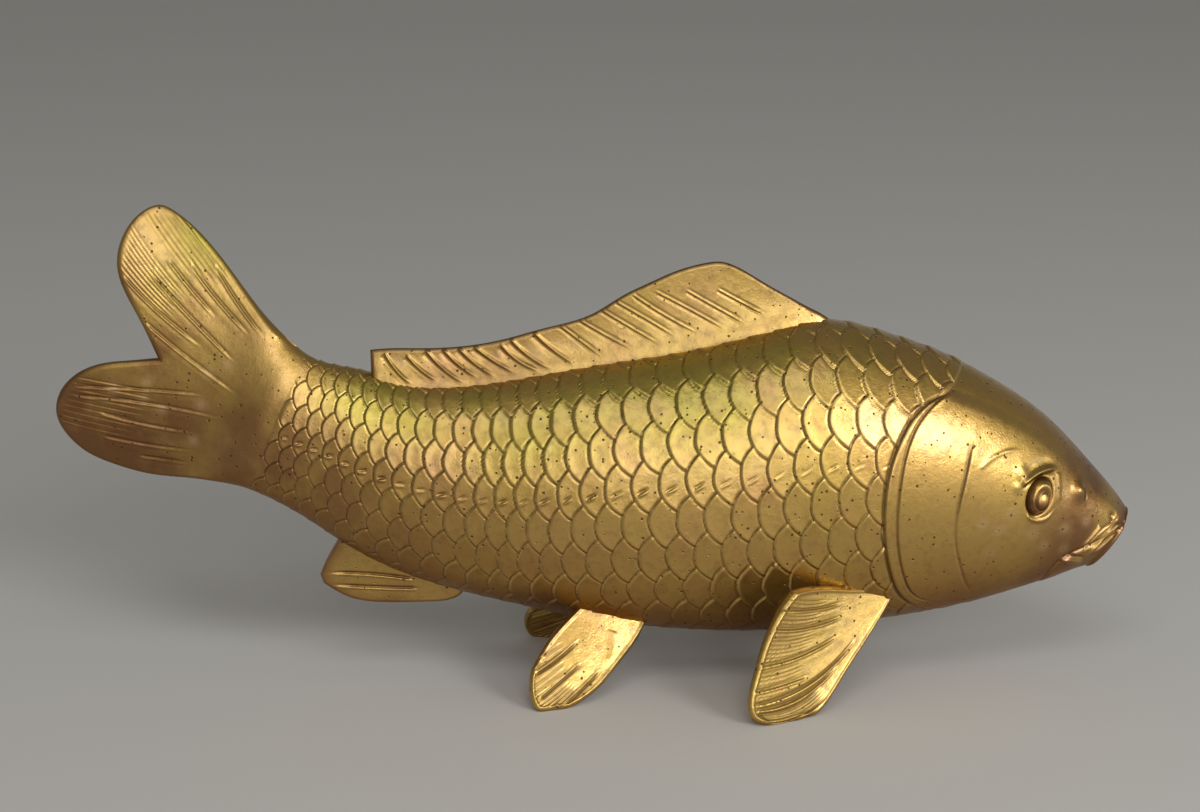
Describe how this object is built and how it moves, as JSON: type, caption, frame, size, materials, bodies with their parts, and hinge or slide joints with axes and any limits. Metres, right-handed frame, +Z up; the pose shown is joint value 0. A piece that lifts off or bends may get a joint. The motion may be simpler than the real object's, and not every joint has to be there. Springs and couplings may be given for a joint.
{
  "type": "fish figurine",
  "caption": "Hollow cast brass carp with incised scales and rayed fins, standing on the tips of its pectoral and pelvic fins.",
  "frame": {"origin": "on the floor, under the middle of the figure's bounding box", "axes": "+X towards the snout, +Y towards the fish's left side, +Z up"},
  "size_m": [0.4002, 0.1188, 0.1804],
  "materials": {
    "worn_brass": "cast brass, carved scales and rays, worn gold polish with brown patina in the recesses and small casting pits",
    "eye_brass": "cast brass, polished dome with darker groove",
    "pin_brass": "drawn brass rod, plain"
  },
  "bodies": {
    "root": {"body_shell_right": "worn_brass", "body_shell_left": "worn_brass", "dorsal_fin": "worn_brass", "anal_fin": "worn_brass", "tail_fin": "worn_brass", "pectoral_fin_right": "worn_brass", "pectoral_fin_left": "worn_brass", "pelvic_fin_right": "worn_brass", "pelvic_fin_left": "worn_brass", "eye_right": "eye_brass", "eye_left": "eye_brass", "fin_pins": "pin_brass", "seam_pins": "pin_brass"}
  },
  "joints": []
}
